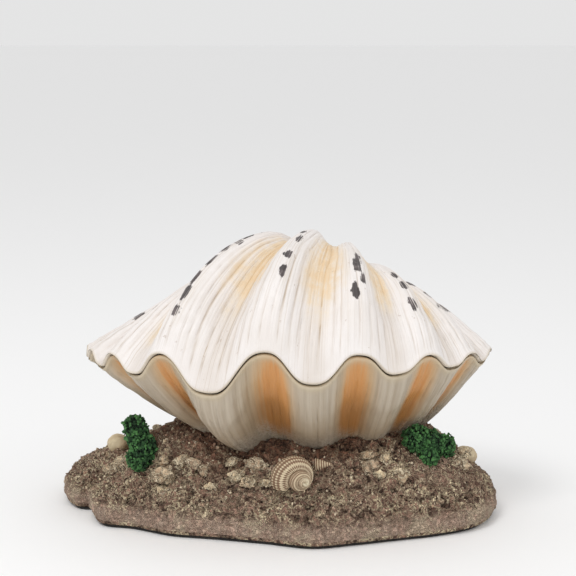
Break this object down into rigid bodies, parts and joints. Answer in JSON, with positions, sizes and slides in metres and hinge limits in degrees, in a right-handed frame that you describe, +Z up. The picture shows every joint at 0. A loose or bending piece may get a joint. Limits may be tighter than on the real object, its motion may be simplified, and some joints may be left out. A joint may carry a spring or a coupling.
{
  "type": "air-driven clam ornament",
  "caption": "Aquarium ornament: a fluted clam on a sand base whose hinged upper valve is lifted by air and drops to release bubbles.",
  "frame": {"origin": "on the resting plane, under the middle of the object's bounding box", "axes": "+Z up, +X along the longest extent of the base and shell, -Y towards the side that opens"},
  "size_m": [0.148, 0.1059, 0.0954],
  "materials": {
    "sand_resin": "rough cast resin, dry-brushed with cream",
    "valve_white": "satin painted cast resin with black spots and orange grooves",
    "valve_cream": "satin cast resin with brown streaks",
    "mantle_flesh": "wet-looking painted cast resin",
    "pearl_white": "pearlescent gloss",
    "black_plastic": "fine matte moulding",
    "clear_plastic": "clear moulding",
    "silicone": "translucent silicone",
    "steel_pin": "drawn stainless steel",
    "air_stone_grit": "sintered grit",
    "foam_sheet": "closed-cell foam",
    "moss_green": "crumbly flocking",
    "shell_tan": "matte painted resin with cream ribs",
    "pebble_cream": "smooth painted pebble"
  },
  "bodies": {
    "base": {"sand_base": "sand_resin", "base_pad": "foam_sheet", "lower_valve": "valve_cream", "mantle": "mantle_flesh", "pearl": "pearl_white", "hinge_bracket": "black_plastic", "hinge_pin": "steel_pin", "pin_cap_left": "black_plastic", "pin_cap_right": "black_plastic", "inlet_barb": "clear_plastic", "air_tube": "silicone", "stone_holder": "clear_plastic", "air_stone": "air_stone_grit", "turban_snail": "shell_tan", "cone_shell": "shell_tan", "moss_left": "moss_green", "moss_right": "moss_green", "pebble_left": "pebble_cream", "pebble_right": "pebble_cream"},
    "lid": {"upper_valve": "valve_white", "hinge_knuckle": "black_plastic"}
  },
  "joints": [
    {"name": "lid_hinge", "type": "hinge", "parent": "base", "child": "lid", "pos_m": [0.006, 0.0315, 0.0545], "axis": [-1, 0, 0], "range_deg": [0, 30]}
  ]
}
